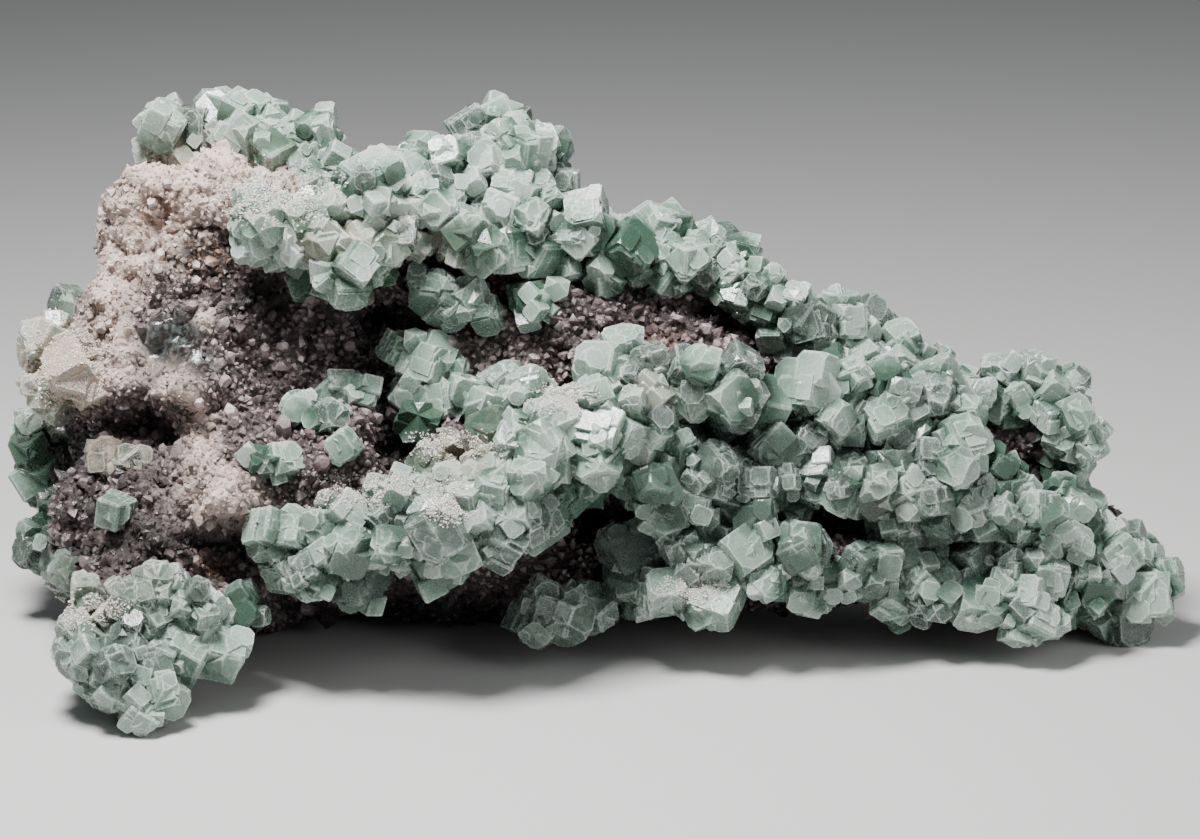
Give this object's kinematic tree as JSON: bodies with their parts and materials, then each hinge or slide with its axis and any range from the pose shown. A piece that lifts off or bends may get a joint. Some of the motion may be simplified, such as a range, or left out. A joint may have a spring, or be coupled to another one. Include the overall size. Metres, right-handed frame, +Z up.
{
  "type": "green fluorite cluster",
  "caption": "Mineral specimen: blocky pale green fluorite crystals in branching bands on a quartz-druse rock matrix, resting on a flat base.",
  "frame": {"origin": "on the ground under the middle of the specimen's box", "axes": "+Z up, +X along the specimen towards its narrow tip, -Y out of its crystal face"},
  "size_m": [0.1496, 0.0744, 0.0671],
  "materials": {
    "quartz_druse": "sugary, matt",
    "fluorite": "translucent pale green crystal with frosted faces"
  },
  "bodies": {
    "root": {"matrix_rock": "quartz_druse", "fluorite_crust": "fluorite", "left_foot_clump": "fluorite", "left_edge_clump": "fluorite", "far_left_clump": "fluorite", "under_clump": "fluorite", "hanging_row": "fluorite", "high_crystal": "fluorite", "middle_crystal": "fluorite", "centre_clump": "fluorite", "left_pair": "fluorite", "low_pair": "fluorite", "small_crystal": "fluorite", "front_pair": "fluorite", "cavity_crystal": "fluorite", "cavity_cube": "fluorite"}
  },
  "joints": []
}
